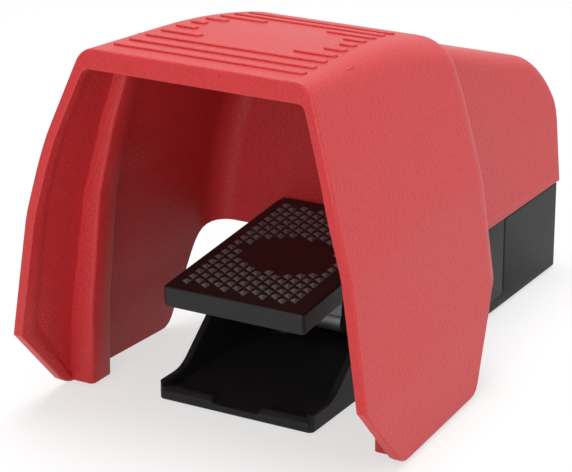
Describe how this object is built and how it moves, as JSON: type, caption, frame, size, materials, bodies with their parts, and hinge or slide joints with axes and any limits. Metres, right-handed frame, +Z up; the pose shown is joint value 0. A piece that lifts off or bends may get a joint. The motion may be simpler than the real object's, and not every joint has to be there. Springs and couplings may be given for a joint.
{
  "type": "industrial foot switch",
  "caption": "Guarded industrial foot switch: a studded black pedal hinged in a black base under a red moulded hood, working a sealed push rod and a contact block behind it.",
  "frame": {"origin": "on the floor, under the middle of the whole object", "axes": "+X across the pedal, +Y from the toe opening to the rear cover, +Z up"},
  "size_m": [0.16, 0.2636, 0.1554],
  "materials": {
    "black_plastic": "satin moulded glass-filled plastic",
    "pedal_plastic": "satin moulded plastic",
    "red_plastic": "fine-grained moulded plastic",
    "seal_rubber": "matt",
    "foot_rubber": "matt",
    "zinc_steel": "zinc plated",
    "bright_steel": "ground",
    "spring_steel": "drawn wire and strip",
    "brass": "turned",
    "contact_brass": "stamped strip with silver tips",
    "cast_metal": "die-cast zinc alloy, bare",
    "cream_plastic": "moulded",
    "grey_plastic": "moulded",
    "bush_plastic": "self-lubricating, natural colour",
    "carrier_plastic": "moulded"
  },
  "bodies": {
    "base": {"base_housing": "black_plastic", "guard_hood": "red_plastic", "rear_cover": "red_plastic", "cover_gasket": "seal_rubber", "guard_screws": "zinc_steel", "guard_washers": "zinc_steel", "cover_screws": "zinc_steel", "rubber_feet": "foot_rubber", "floor_inserts": "brass", "blanking_plug": "black_plastic", "plug_seal": "seal_rubber", "rod_seal": "seal_rubber", "pivot_pin": "bright_steel", "pin_clips": "spring_steel", "stop_pad": "seal_rubber", "contact_block": "cream_plastic", "contact_block_lid": "grey_plastic", "block_screws": "zinc_steel", "closed_contacts": "contact_brass", "open_contacts": "contact_brass", "terminal_clamps": "zinc_steel", "terminal_screws": "zinc_steel", "return_spring": "spring_steel"},
    "pedal_lever": {"pedal": "pedal_plastic", "pivot_bushes": "bush_plastic", "lever_arm": "cast_metal", "arm_screws": "zinc_steel"},
    "rod": {"push_rod": "bright_steel", "rod_clip": "spring_steel"},
    "carrier": {"contact_carrier": "carrier_plastic", "closed_bridge": "contact_brass", "open_bridge": "contact_brass", "bridge_springs": "spring_steel"}
  },
  "joints": [
    {"name": "pedal_hinge", "type": "hinge", "parent": "base", "child": "pedal_lever", "pos_m": [0, -0.00745, 0.046], "axis": [1, 0, 0], "range_deg": [0, 10], "stiffness_Nm_per_rad": 8, "springref_deg": -11.46},
    {"name": "rod_slide", "type": "slide", "parent": "base", "child": "rod", "axis": [0, 1, 0], "range_m": [0, 0.0057], "deforming": ["return_spring"]},
    {"name": "carrier_slide", "type": "slide", "parent": "base", "child": "carrier", "axis": [0, 1, 0], "range_m": [0, 0.0057]}
  ],
  "couplings": [
    {"joint": "rod_slide", "follows": "pedal_hinge", "m_per_rad": 0.032082},
    {"joint": "carrier_slide", "follows": "pedal_hinge", "m_per_rad": 0.032082}
  ]
}
